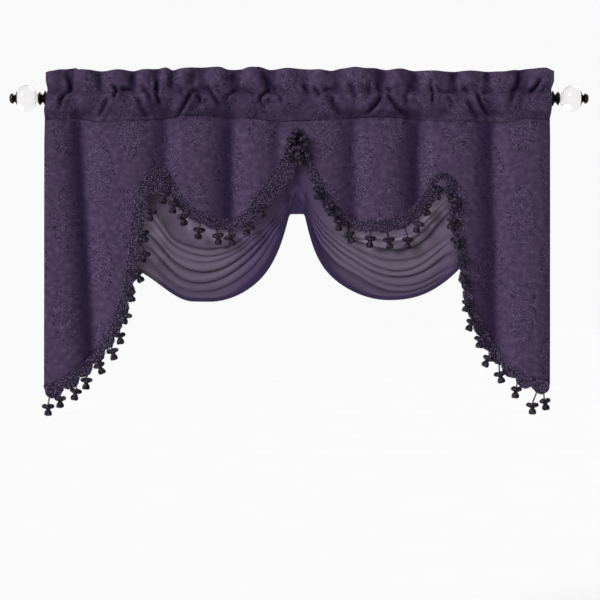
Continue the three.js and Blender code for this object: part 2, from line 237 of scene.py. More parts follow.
def damaskMaterial(look):
    material, add = newMaterial("aubergine jacquard damask")
    flat = add("UVMap", uv_map="flat")
    wide, tall = (value * mm for value in look["repeat"])
    across, along = (value * mm for value in look["medallion"])
    wander = add("TexNoise", {"Vector": flat, "Scale": 1 / (look["wander"] * mm), "Detail": 2.0})
    stray = add("VectorMath", {0: wander.outputs["Color"], 1: (0.5, 0.5, 0.5)}, "SUBTRACT")
    far = [value * mm for value in look["stray"]]
    drawn = add("VectorMath", {0: stray, 1: far, 2: flat}, "MULTIPLY_ADD")
    darks, pales = [], []
    for shift in look["shifts"]:
        placed = add("Mapping", {"Vector": drawn, "Location": shift, "Scale": (1 / wide, 1 / tall, 1.0)})
        cell = add("VectorMath", {0: placed}, "FRACTION")
        middle = add("VectorMath", {0: cell, 1: (0.5, 0.5, 0.0)}, "SUBTRACT")
        shape = (2 * wide / across, 2 * tall / along, 0.0)
        oval = add("VectorMath", {0: middle, 1: shape}, "MULTIPLY")
        folded = add("VectorMath", {0: oval}, "ABSOLUTE")
        # two arcs that meet in points: 0 in the middle, 1 on the border
        arcs = {0: folded, 1: (1.0, 1.61, 0.0), 2: (0.8, 0.0, 0.0)}
        lens = add("VectorMath", arcs, "MULTIPLY_ADD")
        reach = add("VectorMath", {0: lens}, "LENGTH")
        ring = add("Math", {0: reach.outputs["Value"], 1: 0.8}, "SUBTRACT")
        sides = add("SeparateXYZ", {0: oval})
        turn = add("Math", {0: sides.outputs["Y"], 1: sides.outputs["X"]}, "ARCTAN2")
        spin = add("Math", {0: turn, 1: look["flecks"]}, "MULTIPLY")
        lean = add("Math", {0: ring, 1: look["fleckLean"], 2: spin}, "MULTIPLY_ADD")
        fleck = add("Math", {0: lean}, "SINE")
        border = add("ValToRGB", {"Fac": ring}, stops=look["dark"])
        darks.append(add("Math", {0: border, 1: fleck}, "MULTIPLY"))
        pales.append(add("ValToRGB", {"Fac": ring}, stops=look["pale"]))
    dark = add("Math", dict(enumerate(darks)), "MAXIMUM")
    pale = add("Math", dict(enumerate(pales)), "MAXIMUM")
    yarns = add("TexNoise", {
        "Vector": flat, "Scale": 1 / (look["yarn"] * mm), "Detail": 1.0, "Roughness": 0.5})
    grain = add("Math", {0: yarns, 1: 0.5}, "SUBTRACT")
    strength = add("Math", {0: pale, 1: 1.65, 2: 0.02}, "MULTIPLY_ADD")
    specks = add("Math", {0: grain, 1: strength}, "MULTIPLY")
    blotch = add("TexNoise", {
        "Vector": flat, "Scale": 1 / (look["blotch"] * mm), "Detail": 3.0, "Roughness": 0.6})
    ground = add("Math", {0: blotch, 1: 0.8, 2: -0.02}, "MULTIPLY_ADD")
    lifted = add("Math", {0: specks, 1: 1.3, 2: ground}, "MULTIPLY_ADD")
    level = add("Math", {0: dark, 1: -0.22, 2: lifted}, "MULTIPLY_ADD", use_clamp=True)
    shades = ((0.0, "deep"), (0.42, "ground"), (1.0, "figure"))
    tone = add("ValToRGB", {"Fac": level}, stops=[(place, colour(look[name])) for place, name in shades])
    # painted shade: the hollow attribute mixes the tone towards the fold colour
    hollow = add("Attribute", attribute_name="hollow", attribute_type="GEOMETRY")
    depth = add("Math", {0: hollow.outputs["Fac"], 1: look["hollow"]}, "MULTIPLY")
    shaded = add("Mix", {0: depth, 6: tone.outputs["Color"], 7: colour(look["fold"])}, data_type="RGBA")
    gloss = add("Math", {0: specks, 1: -0.2, 2: 0.72}, "MULTIPLY_ADD")
    raised = add("Math", {0: specks, 1: 0.8, 2: level}, "MULTIPLY_ADD")
    relief = add("Bump", {"Height": raised, "Strength": 0.5, "Distance": 0.0008})
    cloth = add("BsdfPrincipled", {
        "Base Color": shaded.outputs[2], "Roughness": gloss, "Normal": relief, "Sheen Weight": 0.03,
        "Sheen Roughness": 0.4, "Sheen Tint": colour(look["sheen"]), "Specular IOR Level": 0.05})
    add("OutputMaterial", {"Surface": cloth})
    return material


# Polyester voile: a sheer plain weave that lets light through, darkens where layers lie over each other and
# with painted shade, is darker and purpler by the middle where it gathers, from its layers and painted shade,
# is paler with painted light just under the braid, and shows faint slubs along its yarns. The middle and near
# are in metres.
voileWeave = {
    # the palest colour is painted light, the middle's is partly painted shade, and the darkest comes with the
    # layers and painted shade
    "colour": "#5e5265", "paintedLight": "#9a8aa8", "gatheredAndShaded": "#564367", "dark": "#302440", "sheen": "#9a84b4",
    "sheer": 0.87, "layered": 0.97, "slub": 5.0, "middle": 0.045, "near": (0.05, 0.16),
}


def voileMaterial(name, look):
    material, add = newMaterial(name)
    flat = add("UVMap", uv_map="flat")
    fine = 1 / (look["slub"] * mm)
    weft = add("Mapping", {"Vector": flat, "Scale": (0.12, 1.0, 1.0)})
    slubs = add("TexNoise", {"Vector": weft, "Scale": fine, "Detail": 3.0})
    warp = add("Mapping", {"Vector": flat, "Scale": (1.0, 0.15, 1.0)})
    runs = add("TexNoise", {"Vector": warp, "Scale": fine, "Detail": 3.0})
    cross = add("Math", {0: slubs, 1: runs}, "ADD")
    weave = add("Math", {0: cross, 1: 0.08, 2: -0.08}, "MULTIPLY_ADD")
    # the layers attribute holds layers and painted shade above 0, and painted light below 0
    layers = add("Attribute", attribute_name="layers", attribute_type="GEOMETRY").outputs["Fac"]
    layersAndPaintedShade = add("Math", {0: layers, 1: 1.0}, "MULTIPLY", use_clamp=True)
    paintedLightShare = add("Math", {0: layers, 1: -1.0}, "MULTIPLY", use_clamp=True)
    added = look["layered"] - look["sheer"]
    cover = add("Math", {0: layersAndPaintedShade, 1: added, 2: look["sheer"]}, "MULTIPLY_ADD")
    opacity = add("Math", {0: cover, 1: weave}, "ADD", use_clamp=True)
    place = add("SeparateXYZ", {"Vector": flat})
    aside = add("Math", {0: place.outputs["X"], 1: look["middle"]}, "ADD")
    away = add("Math", {0: aside}, "ABSOLUTE")
    near, far = look["near"]
    spread = {0: away, 1: near, 2: far, 3: 1.0, 4: 0.0}
    inner = add("MapRange", spread, interpolation_type="SMOOTHSTEP")
    # the tone: darker and purpler by the middle, partly painted shade, paler with painted light, darker with
    # layers and painted shade
    tone = colour(look["colour"])
    for share, shade in ((inner, "gatheredAndShaded"), (paintedLightShare, "paintedLight"), (layersAndPaintedShade, "dark")):
        tone = add("Mix", {0: share, 6: tone, 7: colour(look[shade])}, data_type="RGBA").outputs[2]
    relief = add("Bump", {"Height": cross, "Strength": 0.2, "Distance": 0.0004})
    cloth = add("BsdfPrincipled", {
        "Base Color": tone, "Roughness": 0.6, "Alpha": opacity, "Normal": relief, "Sheen Weight": 0.04,
        "Sheen Roughness": 0.5, "Sheen Tint": colour(look["sheen"]), "Specular IOR Level": 0.04})
    add("OutputMaterial", {"Surface": cloth})
    return material


# Rayon gimp cord and spun tassel yarn: almost black aubergine, dull, with paler fibre ends on the outside of
# each twist. The tails' gimp is a paler copy with painted light, where it hangs clear of the voile, and the
# satin is plain.
gimpYarn = {"dark": "#231a2d", "pale": "#79678a", "twist": 2.5}
litGimpYarn = {"dark": "#281e33", "pale": "#837095", "twist": 2.5}
tasselYarn = {"dark": "#120c18", "pale": "#55485f", "twist": 3.4}
satinYarn = {"dark": "#40334c", "pale": "#4c3f58", "twist": 6.0}


def yarnMaterial(name, look):
    material, add = newMaterial(name)
    place = add("TexCoord").outputs["Object"]
    twist = look["twist"] * mm
    fibres = add("TexNoise", {"Vector": place, "Scale": 1 / twist, "Detail": 3.0, "Roughness": 0.65})
    clumps = add("TexVoronoi", {"Vector": place, "Scale": 1 / (1.6 * twist)})
    worn = add("Math", {0: clumps, 1: -0.4, 2: fibres}, "MULTIPLY_ADD")
    dark, pale = colour(look["dark"]), colour(look["pale"])
    tone = add("ValToRGB", {"Fac": worn}, stops=((0.14, dark), (0.27, dark), (0.55, pale)))
    relief = add("Bump", {"Height": worn, "Strength": 0.7, "Distance": 0.0006})
    yarn = add("BsdfPrincipled", {
        "Base Color": tone, "Roughness": 0.62, "Normal": relief, "Sheen Weight": 0.04,
        "Sheen Roughness": 0.45, "Sheen Tint": colour("#8a74a6"), "Specular IOR Level": 0.1})
    add("OutputMaterial", {"Surface": yarn})
    return material


# Oil-rubbed bronze: cast and turned, brown-black with worn warm patches and a soft satin gloss.
bronzeFinish = {"dark": "#171411", "worn": "#3d2f22", "patch": 11.0, "grit": 1.4}


def bronzeMaterial(look):
    material, add = newMaterial("oil rubbed bronze")
    place = add("TexCoord").outputs["Object"]
    patch, fine = look["patch"] * mm, look["grit"] * mm
    patches = add("TexNoise", {"Vector": place, "Scale": 1 / patch, "Detail": 4.0, "Roughness": 0.6})
    grit = add("TexNoise", {"Vector": place, "Scale": 1 / fine, "Detail": 2.0})
    shades = ((0.42, colour(look["dark"])), (0.72, colour(look["worn"])))
    tone = add("ValToRGB", {"Fac": patches}, stops=shades)
    rubbed = add("Math", {0: grit, 1: 0.28, 2: 0.2}, "MULTIPLY_ADD")
    relief = add("Bump", {"Height": grit, "Strength": 0.15, "Distance": 0.0003})
    metal = add("BsdfPrincipled", {
        "Base Color": tone, "Metallic": 0.8, "Roughness": rubbed, "Normal": relief})
    add("OutputMaterial", {"Surface": metal})
    return material


# Cast acrylic: clear, polished, bending what is behind it, with a trace of haze in the casting.
acrylicCast = {"tint": "#f7f5f6", "haze": 14.0}


def acrylicMaterial(look):
    material, add = newMaterial("cast clear acrylic")
    place = add("TexCoord").outputs["Object"]
    flow = add("TexNoise", {"Vector": place, "Scale": 1 / (look["haze"] * mm), "Detail": 1.0})
    haze = add("Math", {0: flow, 1: 0.05}, "MULTIPLY")
    clear = add("BsdfPrincipled", {
        "Base Color": colour(look["tint"]), "Roughness": haze, "IOR": 1.49, "Transmission Weight": 1.0})
    add("OutputMaterial", {"Surface": clear})
    return material


damask = damaskMaterial(damaskWeave)
voile = voileMaterial("mauve polyester voile", voileWeave)
# the back shows no painted light
voileBack = voileMaterial("mauve polyester voile back", {**voileWeave, "paintedLight": voileWeave["colour"]})
gimp = yarnMaterial("rayon gimp cord", gimpYarn)
litGimp = yarnMaterial("rayon gimp cord of the tails", litGimpYarn)
spunYarn = yarnMaterial("spun tassel yarn", tasselYarn)
satin = yarnMaterial("aubergine satin", satinYarn)
bronze = bronzeMaterial(bronzeFinish)
acrylic = acrylicMaterial(acrylicCast)
print("materials made")

# the damask panel in mm: a rod-pocket heading, then the hang down to its W-shaped edge
panel = {
    "thick": 1.2, "headerTop": 71.0, "upperStitch": 18.0, "pocketRadius": 15.3, "layerApart": 1.4,
    "frillDepth": 11.0, "pocketSwell": 4.0, "ease": 6.0, "pinch": 1.6, "ridgeFront": -12.0, "rodClear": 14.4,
    "frillMiddle": 44.0, "pocketFoot": -27.0, "hang": (-50.0, 640.0), "fine": 6, "hangRows": 46, "evened": 25,
    # rows of the grid between the points of the heading's section, up its back and down its front
    "backSteps": (2, 2, 2, 2, 3, 4), "frontSteps": (5, 7, 6, 7, 7, 8),
    # height, left side, right side
    "sides": ((-700, -610, 602), (-60, -610, 602), (-32, -609, 603), (-6, -603, 604), (20, -603, 605),
              (44, -607, 612), (74, -607, 612)),
    # the wavy lower stitch of the pocket: x, height
    "seam": ((-611, -49), (-535, -47), (-480, -56), (-350, -51), (-259, -39), (-120, -48), (-38, -55),
             (204, -44), (345, -54), (506, -58), (545, -47), (613, -49)),
    # hollows of the frill above the pocket: x, depth
    "hollows": ((-640, .5), (-548, 1), (-477, .7), (-398, .9), (-338, .8), (-300, .6), (-237, 1),
                (-151, .9), (-67, 1), (16, .7), (88, .8), (194, 1), (271, .8), (370, .9), (449, .8),
                (533, 1), (640, .5)),
    # long folds: x of the trough, depth, long left slope, short right slope, drift towards the foot
    "folds": ((-524, 20, 44, 24, 36), (-318, 16, 60, 22, -6), (-160, 20, 56, 22, 2), (-48, 10, 36, 14, -4),
              (132, 15, 52, 20, 10), (289, 20, 56, 22, -4), (464, 19, 60, 24, 14), (622, 12, 60, 30, 0)),
    # the frill's top edge: x, height
    "topEdge": ((-608, 62), (-595, 65), (-568, 70), (-537, 73.7), (-529, 69.5), (-506, 68), (-470, 65.7),
                (-430, 68.8), (-399, 66.5), (-372, 69), (-318, 73), (-303, 68), (-283, 72), (-238, 75),
                (-191, 74.5), (-169, 69.2), (-140, 70), (-118, 74.5), (-94, 74.5), (-69, 69.2), (-29, 72),
                (2, 71.2), (42, 69.2), (74, 66.5), (105, 72.3), (132, 74.5), (158, 72.3), (181, 73.7),
                (216, 68), (247, 71), (279, 66.5), (323, 65.7), (359, 64.8), (430, 65.7), (488, 63.5),
                (524, 69), (551, 71), (591, 72.7), (612, 66.5)),
}
# the lower edge in four stretches, each with its own braid: columns of cloth, lace lobes, the end at an arch,
# rows of loops, depth of the lobes, widths along it, tassels as x, height and lean in degrees, edge points
stretches = {
    "tail_left": {
        "columns": 20, "lobes": 15, "arch": "end", "rows": 4, "lobeShare": 0.5,
        "widths": ((0, 1.15), (0.06, 1), (0.14, 0.95), (0.2, 0.8), (0.36, 0.72), (0.44, 0.8), (0.55, 0.9),
                   (0.7, 1), (1, 1)),
        "tassels": ((-600, -746, 0), (-571, -727, 0), (-535, -709, 12), (-509, -683, 3), (-475, -647, -24),
                    (-444, -613, -14), (-427, -575, -6), (-415, -527, 16), (-401, -474, -12),
                    (-382, -428, -28), (-370, -380, 18), (-370, -332, -15), (-355, -280, 10)),
        "edge": ((-610, -692), (-580, -685), (-541, -661), (-463, -578), (-420, -469), (-402, -352),
                 (-389, -246), (-362, -181), (-338, -167))},
    "scallop_left": {
        "columns": 16, "lobes": 12, "arch": "start", "rows": 6, "lobeShare": 0.22,
        "widths": ((0, 1), (0.12, 0.8), (0.2, 0.66), (0.45, 0.76), (0.58, 0.88), (0.74, 1.45), (0.9, 1.4),
                   (1, 1)),
        "tassels": ((-300, -262, 14), (-276, -292, -12), (-240, -324, 8), (-194, -337, -6),
                    (-163, -340, -18), (-122, -316, 20), (-89, -274, -10)),
        "edge": ((-338, -167), (-314, -177), (-265, -258), (-194, -292), (-142, -287), (-86, -220),
                 (-29, -128), (-4, -76))},
    "scallop_right": {
        "columns": 16, "lobes": 12, "arch": "end", "rows": 4, "lobeShare": 0.22,
        "widths": ((0, 0.6), (0.28, 0.65), (0.42, 0.86), (0.7, 0.86), (0.86, 1.0), (1, 1)),
        "tassels": ((46, -230, 16), (74, -268, -14), (96, -304, 10), (122, -334, -18), (170, -344, 6),
                    (216, -347, -8), (260, -347, 4), (283, -309, 16), (305, -268, -12)),
        "edge": ((-4, -76), (22, -138), (82, -256), (139, -292), (235, -292), (288, -249), (331, -191),
                 (350, -182))},
    "tail_right": {
        "columns": 20, "lobes": 15, "arch": "start", "rows": 4, "lobeShare": 0.5,
        "widths": ((0, 1), (0.2, 0.95), (0.36, 0.8), (0.44, 0.6), (0.56, 0.55), (0.64, 0.65), (0.72, 0.8),
                   (0.85, 0.85), (0.92, 1), (1, 1.05)),
        "tassels": ((372, -253, -16), (364, -300, 12), (377, -346, -10), (392, -390, 20), (396, -442, -8),
                    (401, -498, 14), (410, -544, 24), (432, -584, 8), (449, -630, 26), (482, -668, -12),
                    (518, -704, 6), (559, -743, 0), (590, -733, -8)),
        "edge": ((350, -182), (374, -205), (392, -328), (405, -448), (434, -541), (515, -649), (561, -675),
                 (602, -683))},
}
# gathers pinched into the heading: depth, half width, and the line of each from its top
creases = (
    (5.5, 5, ((-557, 56), (-547, 36), (-545, 18), (-560, 6), (-568, -3), (-570, -27))),
    (3.5, 8, ((-481, 61), (-477, 36), (-472, 20))), (3.5, 5, ((-452, 0), (-468, -28), (-484, -50))),
    (7, 4.5, ((-443, 31), (-437, 18), (-441, -4))), (4.5, 5, ((-430, 20), (-412, 21), (-392, 17))),
    (4, 9, ((-401, 60), (-399, 40), (-398, 24))), (5, 5, ((-374, 25), (-358, 7), (-352, -6))),
    (6, 8, ((-384, 3), (-377, -24), (-359, -47))),
    (6.5, 4.5, ((-341, 48), (-341, 30), (-338, 4), (-325, -28))),
    (4.5, 10, ((-309, 62), (-306, 40), (-307, 16))), (4.5, 4.5, ((-287, 20), (-271, 1))),
    (8, 5.5, ((-248, 21), (-262, 3), (-277, -24), (-295, -45))),
    (6, 5, ((-245, 22), (-238, 4), (-235, -14))), (4.5, 14, ((-258, 66), (-257, 40), (-256, 26))),
    (8, 5, ((-223, 34), (-207, 10), (-186, -22))), (4.5, 14, ((-160, 66), (-158, 40), (-152, 22))),
    (5, 5, ((-139, 17), (-155, 16), (-170, 4), (-173, -10))), (4.5, 6, ((-136, 33), (-124, 18), (-101, 8))),
    (7, 8, ((-88, 62), (-76, 40), (-65, 18))), (7, 5, ((-60, 19), (-78, 13), (-90, 2), (-95, -12))),
    (4.5, 4.5, ((-60, 18), (-46, 6), (-36, -18))), (3.5, 5, ((-92, -8), (-76, -26))),
    (5.5, 6, ((13, 38), (19, 22), (25, 6))), (5.5, 5, ((36, 24), (46, 14), (51, 0))),
    (3.5, 5, ((54, 14), (68, 20), (90, 20))), (5, 8, ((78, 6), (85, -20), (104, -43))),
    (5, 8, ((124, 42), (130, 20), (138, -10))), (4, 7, ((170, 36), (168, 4))),
    (4.5, 16, ((203, 70), (203, 40), (202, 24))), (5, 5, ((190, 34), (202, 11))),
    (7.5, 6, ((203, 10), (186, -14), (157, -41))), (4.5, 4, ((207, 27), (227, 13))),
    (8, 6.5, ((213, 24), (217, 4), (226, -12), (241, -28), (268, -47))),
    (4.5, 14, ((288, 66), (278, 32), (272, 12))), (4.5, 6, ((264, 22), (256, 2), (258, -17))),
    (6.5, 4.5, ((316, 38), (321, 10), (319, -6), (325, -15))), (4.5, 5, ((330, 22), (346, 14), (381, 12))),
    (4.5, 9, ((376, 66), (374, 36))), (6.5, 5, ((391, 31), (408, 12))), (4, 6, ((356, 6), (369, -17))),
    (6, 6, ((402, -4), (416, -32), (433, -52))), (7, 4.5, ((426, 16), (431, -8), (440, -24), (457, -45))),
    (4, 5, ((434, 2), (448, 12), (473, 16))), (4, 8, ((454, 66), (457, 36))),
    (6, 7, ((533, 66), (526, 30), (513, 13), (507, -16))), (6.5, 5.5, ((583, 49), (567, 25), (548, 5))),
)


def frillAt(x):  # from -1 in a hollow of the frill to 1 on the ridge between two
    places, deep = np.array(panel["hollows"], float).T
    step = np.clip(np.searchsorted(places, x, side="right") - 1, 0, len(places) - 2)
    share = (x - places[step]) / (places[step + 1] - places[step])
    return -np.cos(math.tau * share) * mix(deep[step], deep[step + 1], share)


def fallAt(z):  # 0 under the pocket, 1 at the foot of the tails
    top, length = panel["hang"]
    return np.clip((top - z) / length, 0, 1)


def foldAt(x, z):  # y of the hang: ridges forward and troughs back, shallower just under the pocket
    opened = mix(0.45, 1.0, ease(-z, 50, 130))
    y = panel["ridgeFront"] * mix(0.35, 1.0, ease(-z, 45, 120))
    for place, depth, slow, quick, drift in panel["folds"]:
        aside = x - place - drift * fallAt(z)
        y = y + depth * opened * bell(aside, np.where(aside < 0, slow, quick))
    return y


def foldShade(x, z):  # painted shade on the slope into each fold
    shade = np.zeros_like(x)
    for place, depth, slow, quick, drift in panel["folds"]:
        aside = x - place - drift * fallAt(z) + 10
        shade = shade + depth / 20 * bell(aside, np.where(aside < 0, 0.62 * slow, 13))
    return shade * mix(0.35, 1.0, ease(-z, 40, 75))


def edgeLine(points, count):  # a smooth line through the points, cut into even lengths
    p = np.array(points, float)
    p = np.vstack([2 * p[0] - p[1], p, 2 * p[-1] - p[-2]])
    drawn = []
    for around in zip(p, p[1:], p[2:], p[3:]):
        knots = np.cumsum([0.0] + [np.hypot(*(b - a)) ** 0.5 for a, b in zip(around, around[1:])])
        for t in np.linspace(knots[1], knots[2], 60, endpoint=False):
            lay = around
            for span in (1, 2):  # each round draws between the points of the last
                shares = [(t - a) / (b - a) for a, b in zip(knots, knots[span:])]
                lay = [mix(a, b, share) for a, b, share in zip(lay, lay[1:], shares)]
            drawn.append(mix(lay[0], lay[1], (t - knots[1]) / (knots[2] - knots[1])))
    drawn = np.array(drawn + [p[-2]])
    far = runAlong(drawn)
    return sampled(np.linspace(0, far[-1], count + 1), far, drawn)


def creasePush(x, z):  # how far the gathers press the heading in, with the ridges that stand beside them
    push = np.zeros_like(x)
    for depth, half, line in creases:
        half, line = 0.95 * half, np.array(line, float)
        nearest, side, along, done = np.full(x.shape, 1e9), np.zeros_like(x), np.zeros_like(x), 0.0
        for a, b in zip(line, line[1:]):
            run, size = b - a, np.hypot(*(b - a))
            t = np.clip(((x - a[0]) * run[0] + (z - a[1]) * run[1]) / size ** 2, 0, 1)
            dx, dz = x - a[0] - t * run[0], z - a[1] - t * run[1]
            gap = np.hypot(dx, dz)
            closer = gap < nearest
            nearest = np.where(closer, gap, nearest)
            side = np.where(closer, gap * np.sign(run[0] * dz - run[1] * dx), side)
            along = np.where(closer, done + t * size, along)
            done += size
        share = along / done
        taper = ease(share, -0.12, 0.25) * ease(1 - share, -0.12, 0.3)
        ends = bell(np.maximum(nearest - np.abs(side), 0), half)
        beyond = bell(np.maximum(nearest - 3 * half, 0), half)
        ridge = 0.5 * bell(side - 2.1 * half, 1.2 * half) + 0.35 * bell(side + 2.1 * half, 1.2 * half)
        push += depth * taper * (bell(nearest, half) - ridge * beyond * ends)
    return push


def between(p0, p1, p2, p3, s):  # a smooth step from p1 to p2
    bend = 2 * p0 - 5 * p1 + 4 * p2 - p3
    twist = 3 * p1 - p0 - 3 * p2 + p3
    return 0.5 * (2 * p1 + (p2 - p0) * s + bend * s ** 2 + twist * s ** 3)


def paintedShadeAt(x, z, push, seamZ, front):  # painted shade, 1 in a fold
    # painted shade in the frill's hollows, the creases, a wavering shade over the pocket, the shade under it,
    # along its stitch line and in the long folds
    heading = ease(z, -48, -38)
    frill = 0.75 * ease(-frillAt(x), 0.3, 1.0) * ease(z, 2, 26)
    waver = 1.2 + np.sin(x / 21 + 2 * np.sin(x / 67)) * np.cos(z / 17 + x / 41)
    pocket = 0.22 * heading * (1 - ease(z, 24, 40)) * waver
    below = 0.13 * bell(z - seamZ, 30) * (z < seamZ)
    stitch = (0.6 + 0.4 * np.sin(x / 29 + 2 * np.sin(x / 83))) * bell(z - seamZ, 1.5)
    hang = foldShade(x, z) * (z < 0)
    depth = frill + 0.88 * ease(push, 0.8, 10.0) + 0.05 * heading + below + pocket + hang + stitch
    return np.clip(depth, 0, 1) * np.maximum(front, 0.3)


def damaskPoints():
    feet, shares = [], []
    left, right = tabled(panel["sides"], 1, -60.0), tabled(panel["sides"], 2, -60.0)
    for number, stretch in enumerate(stretches.values()):
        line = edgeLine(stretch["edge"], stretch["columns"] * panel["fine"])
        first, last = (line[[0, -1], 0] - left) / (right - left)
        start = 1 if number else 0  # stretches share their end points
        feet.append(line[start:])
        shares.append(np.linspace(first, last, len(line))[start:])
    feet, share = np.vstack(feet), np.concatenate(shares)

    def across(z):
        return mix(tabled(panel["sides"], 1, z), tabled(panel["sides"], 2, z), share)

    one = np.ones_like(share)
    radius, apart = panel["pocketRadius"], panel["layerApart"]
    stitch = panel["upperStitch"] + 3.0 * np.sin(across(20.0) / 33) + 2.0 * np.sin(across(20.0) / 17 + 1)
    seamZ = tabled(panel["seam"], 1, across(-50.0))
    seamY = foldAt(across(seamZ), seamZ)
    top = tabled(panel["topEdge"], 1, across(panel["headerTop"]))
    lean = -panel["frillDepth"] * frillAt(across(top))
    swell = panel["pocketSwell"] * (1 + frillAt(across(0.0))) + panel["ease"]
    slope = radius * math.sqrt(0.5)
    frillMiddle, pocketFoot = panel["frillMiddle"] * one, panel["pocketFoot"] * one
    # y and height of the heading's section, from the lower stitch up its back and down its front
    path = np.array([
        (seamY + 2.0, seamZ + 1), (0.75 * radius * one, pocketFoot), (radius * one, 0 * one),
        (slope * one, slope * one), (apart * one, stitch), (apart + 0.7 * lean, frillMiddle), (lean, top),
        (-apart + 0.7 * lean, frillMiddle), (-apart - 0.3 * swell, stitch),
        (-slope - 0.6 * swell, slope * one), (-radius - swell, 0 * one),
        (-0.75 * radius - swell, pocketFoot), (seamY, seamZ)])
    t = (np.arange(panel["hangRows"] + 1) / panel["hangRows"])[:, None] ** 1.3
    hangX, hangZ = mix(across(seamZ), feet[:, 0], t), mix(seamZ, feet[:, 1], t)
    hangY = foldAt(hangX, hangZ)
    ends = np.concatenate([[2 * path[0] - path[1]], path, [np.array([hangY[3], hangZ[3]])]])
    rows = []
    for number, count in enumerate(panel["backSteps"] + panel["frontSteps"]):
        rows += [between(*ends[number:number + 4], s) for s in np.arange(count) / count]
    rows = np.array(rows)
    x = np.vstack([[across(row[1]) for row in rows], hangX])
    y, z = np.vstack([rows[:, 0], hangY]), np.vstack([rows[:, 1], hangZ])
    topRow, seamRow = sum(panel["backSteps"]), len(rows)
    front = np.zeros_like(x)
    front[topRow:] = 1.0
    sewn = np.where(front > 0, 1.0, ease(z, 8, 24))  # the back layer follows the front above the upper stitch
    push = panel["pinch"] * creasePush(x, z) * sewn
    # small puckers by both stitches, the groove of the lower one and a slight sway of the hang
    pucker = (0.9 * np.sin(x / 5.3 + 1.1) + 0.7 * np.sin(x / 8.9)) * np.exp(-np.abs(z - seamZ) / 13) * front
    pucker += 0.7 * np.sin(x / 6.1 + 0.4) * np.exp(-np.abs(z - stitch) / 9) * sewn
    groove = 2.2 * bell(z - seamZ, 1.6) * front
    sway = -0.9 * (1 + np.sin(x / 47 + z / 131) * np.sin(z / 71 - x / 163)) * ease(-z, 60, 120)
    y = y + push + pucker + groove + sway
    # both layers of the pocket stay clear of the rod
    rodFace = np.sqrt(np.maximum(panel["rodClear"] ** 2 - z ** 2, 0))
    besideRod = np.abs(z) < panel["rodClear"]
    y = np.where((front > 0) & besideRod, np.minimum(y, -rodFace), y)
    y = np.where((front == 0) & besideRod, np.maximum(y, rodFace), y)
    points = np.stack([x, y, z], axis=2)
    # the weave runs on evenly over the puckers and hangs straight down below the pocket
    run = np.array([smoothed(row, panel["evened"]) for row in runAlong(points)])
    run[seamRow:] = run[seamRow] + seamZ - z[seamRow:]
    flat = np.stack([x, run[topRow] - run], axis=2)
    return points, flat, paintedShadeAt(x, z, push, seamZ, front), seamRow


points, flat, hollow, seamRow = damaskPoints()
damaskMesh = clothGrid("damaskPanel", points, flat, {"hollow": hollow})
damaskPiece = addPiece("damaskPanel", damaskMesh, [damask], ["damask_panel"])
thicken(damaskPiece, panel["thick"])

# machine stitches along the edges of the rod pocket, front and back
stitching = {"length": 3.2, "gap": 1.5, "radius": 0.42, "lift": 0.75, "ends": (3, 6)}


def stitchLines(line, lift):
    far = runAlong(line)
    (first, last), lines = stitching["ends"], []
    for start in np.arange(first, far[-1] - last, stitching["length"] + stitching["gap"]):
        dash = sampled(start + stitching["length"] * np.array([0.0, 0.5, 1.0]), far, line)
        dash[:, 1] += lift * np.array([0.55, 1.0, 0.55])
        lines.append(dash)
    return lines


upperBack = sum(panel["backSteps"][:4])
dashes = stitchLines(points[seamRow], -stitching["lift"])
dashes += stitchLines(points[1], stitching["lift"]) + stitchLines(points[upperBack], stitching["lift"])
stitchMesh = cordMesh(dashes, stitching["radius"])
stitchMesh.shade_smooth()
stitchPiece = addPiece("pocketStitches", stitchMesh, [gimp], [])
print("stitches:", len(dashes))

